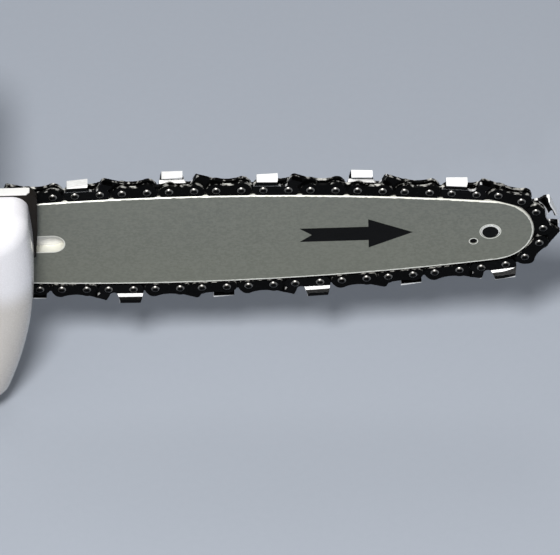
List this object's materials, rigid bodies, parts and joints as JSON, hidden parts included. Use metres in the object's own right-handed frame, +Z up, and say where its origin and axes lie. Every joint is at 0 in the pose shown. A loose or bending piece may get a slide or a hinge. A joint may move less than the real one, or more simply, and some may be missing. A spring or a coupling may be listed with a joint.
{
  "type": "telescoping pole saw",
  "caption": "Battery pole saw: short chain bar on a motor head, telescoping two-tube pole with flip-lock, foam grip, and a rear loop handle with a trigger and slide-off battery.",
  "frame": {"origin": "on the floor, under the middle of the tool's box, with the pole collapsed", "axes": "+X along the pole from the rear handle to the tip of the bar, +Z up, -Y the side that carries the bar and its cover"},
  "size_m": [1.4877, 0.12, 0.136],
  "materials": {
    "white_plastic": "glossy",
    "olive_plastic": "fine texture",
    "pad_plastic": "satin",
    "bar_paint": "matt",
    "black_steel": "blackened",
    "plated_steel": "plated",
    "rivet_steel": "satin",
    "hardened_steel": "satin",
    "motor_steel": "satin",
    "grey_plastic": "satin",
    "tank_plastic": "translucent",
    "black_plastic": "fine texture",
    "accent_plastic": "satin",
    "pole_aluminium": "anodised",
    "grip_foam": "foam",
    "grip_rubber": "matt",
    "board": "satin",
    "cell_sleeve": "satin"
  },
  "bodies": {
    "handle": {"lower_pole": "pole_aluminium", "foam_grip": "grip_foam", "clamp_collar": "olive_plastic", "clamp_bolt": "rivet_steel", "lever_pin": "rivet_steel", "pole_bushing": "pad_plastic", "handle_right": "olive_plastic", "handle_left": "olive_plastic", "handle_screws": "rivet_steel", "grip_overmold": "grip_rubber", "trigger_pin": "rivet_steel", "trigger_spring": "rivet_steel", "power_switch": "grey_plastic", "control_board": "board", "battery_dock": "olive_plastic"},
    "head": {"upper_pole": "pole_aluminium", "pole_slider": "pad_plastic", "head_housing_right": "white_plastic", "head_housing_left": "white_plastic", "neck_screws": "rivet_steel", "head_feet": "grip_rubber", "bar_pad": "pad_plastic", "bar_stud": "rivet_steel", "gearcase_plate": "grey_plastic", "motor_can": "motor_steel", "motor_end_cap": "grey_plastic", "spindle_bearings": "hardened_steel", "oil_tank": "tank_plastic", "oil_pump": "grey_plastic", "chain_drive_links": "black_steel", "chain_cutters_right": "plated_steel", "chain_cutters_left": "plated_steel", "chain_tie_straps": "black_steel", "chain_rivets": "rivet_steel"},
    "bar": {"guide_bar": "bar_paint", "nose_bearing_race": "hardened_steel", "nose_bearing_rollers": "hardened_steel", "tension_block": "rivet_steel"},
    "nose_wheel": {"nose_sprocket": "hardened_steel"},
    "tension_screw": {"tension_screw": "rivet_steel"},
    "spindle": {"drive_sprocket": "hardened_steel", "drive_spindle": "hardened_steel", "output_gear": "hardened_steel"},
    "rotor": {"motor_rotor": "motor_steel", "motor_shaft": "hardened_steel", "motor_pinion": "hardened_steel", "cooling_fan": "grey_plastic"},
    "cover": {"sprocket_cover_shell": "white_plastic", "sprocket_cover_tray": "olive_plastic"},
    "cover_knob": {"cover_knob": "black_plastic", "knob_nut": "hardened_steel"},
    "oil_cap": {"oil_cap": "black_plastic"},
    "clamp_lever": {"clamp_lever": "black_plastic"},
    "trigger": {"trigger": "black_plastic"},
    "lock_off": {"lock_off_button": "accent_plastic"},
    "battery": {"battery_tub": "black_plastic", "battery_lid": "black_plastic", "battery_cells": "cell_sleeve"},
    "battery_latch": {"battery_latch": "accent_plastic"}
  },
  "joints": [
    {"name": "pole_extension", "type": "slide", "parent": "handle", "child": "head", "axis": [1, 0, 0], "range_m": [0, 0.585]},
    {"name": "clamp_lever_swing", "type": "hinge", "parent": "handle", "child": "clamp_lever", "pos_m": [0.262, 0.019, 0.104], "axis": [1, 0, 0], "range_deg": [0, 120]},
    {"name": "trigger_pull", "type": "hinge", "parent": "handle", "child": "trigger", "pos_m": [-0.562, 0, 0.113], "axis": [0, 1, 0], "range_deg": [0, 12], "stiffness_Nm_per_rad": 0.3},
    {"name": "lock_off_press", "type": "slide", "parent": "handle", "child": "lock_off", "axis": [0, -1, 0], "range_m": [0, 0.0032], "stiffness_N_per_m": 300},
    {"name": "battery_release", "type": "slide", "parent": "handle", "child": "battery", "axis": [-1, 0, 0], "range_m": [0, 0.13]},
    {"name": "battery_latch_press", "type": "slide", "parent": "battery", "child": "battery_latch", "axis": [1, 0, 0], "range_m": [0, 0.0028], "stiffness_N_per_m": 400},
    {"name": "spindle_spin", "type": "hinge", "parent": "head", "child": "spindle", "pos_m": [0.45456, -0.024, 0.077], "axis": [0, 1, 0], "continuous": true, "deforming": ["chain_drive_links"]},
    {"name": "rotor_spin", "type": "hinge", "parent": "head", "child": "rotor", "pos_m": [0.47856, 0, 0.09142], "axis": [0, 1, 0], "continuous": true},
    {"name": "nose_wheel_spin", "type": "hinge", "parent": "bar", "child": "nose_wheel", "pos_m": [0.7155, -0.024, 0.077], "axis": [0, 1, 0], "continuous": true},
    {"name": "tension_screw_turn", "type": "hinge", "parent": "head", "child": "tension_screw", "pos_m": [0.5, -0.013, 0.064], "axis": [1, 0, 0], "range_deg": [0, 1800]},
    {"name": "bar_tension", "type": "slide", "parent": "head", "child": "bar", "axis": [-1, 0, 0], "range_m": [0, 0.004]},
    {"name": "cover_removal", "type": "slide", "parent": "head", "child": "cover", "axis": [0, -1, 0], "range_m": [0, 0.05]},
    {"name": "cover_knob_turn", "type": "hinge", "parent": "cover", "child": "cover_knob", "pos_m": [0.498, -0.05, 0.077], "axis": [0, 1, 0], "continuous": true},
    {"name": "oil_cap_turn", "type": "hinge", "parent": "head", "child": "oil_cap", "pos_m": [0.388, 0.03, 0.113], "axis": [0, 0, 1], "continuous": true}
  ],
  "couplings": [
    {"joint": "rotor_spin", "follows": "spindle_spin", "ratio": -4.6},
    {"joint": "nose_wheel_spin", "follows": "spindle_spin", "ratio": 0.85714},
    {"joint": "tension_screw_turn", "follows": "bar_tension", "rad_per_m": 7854}
  ]
}
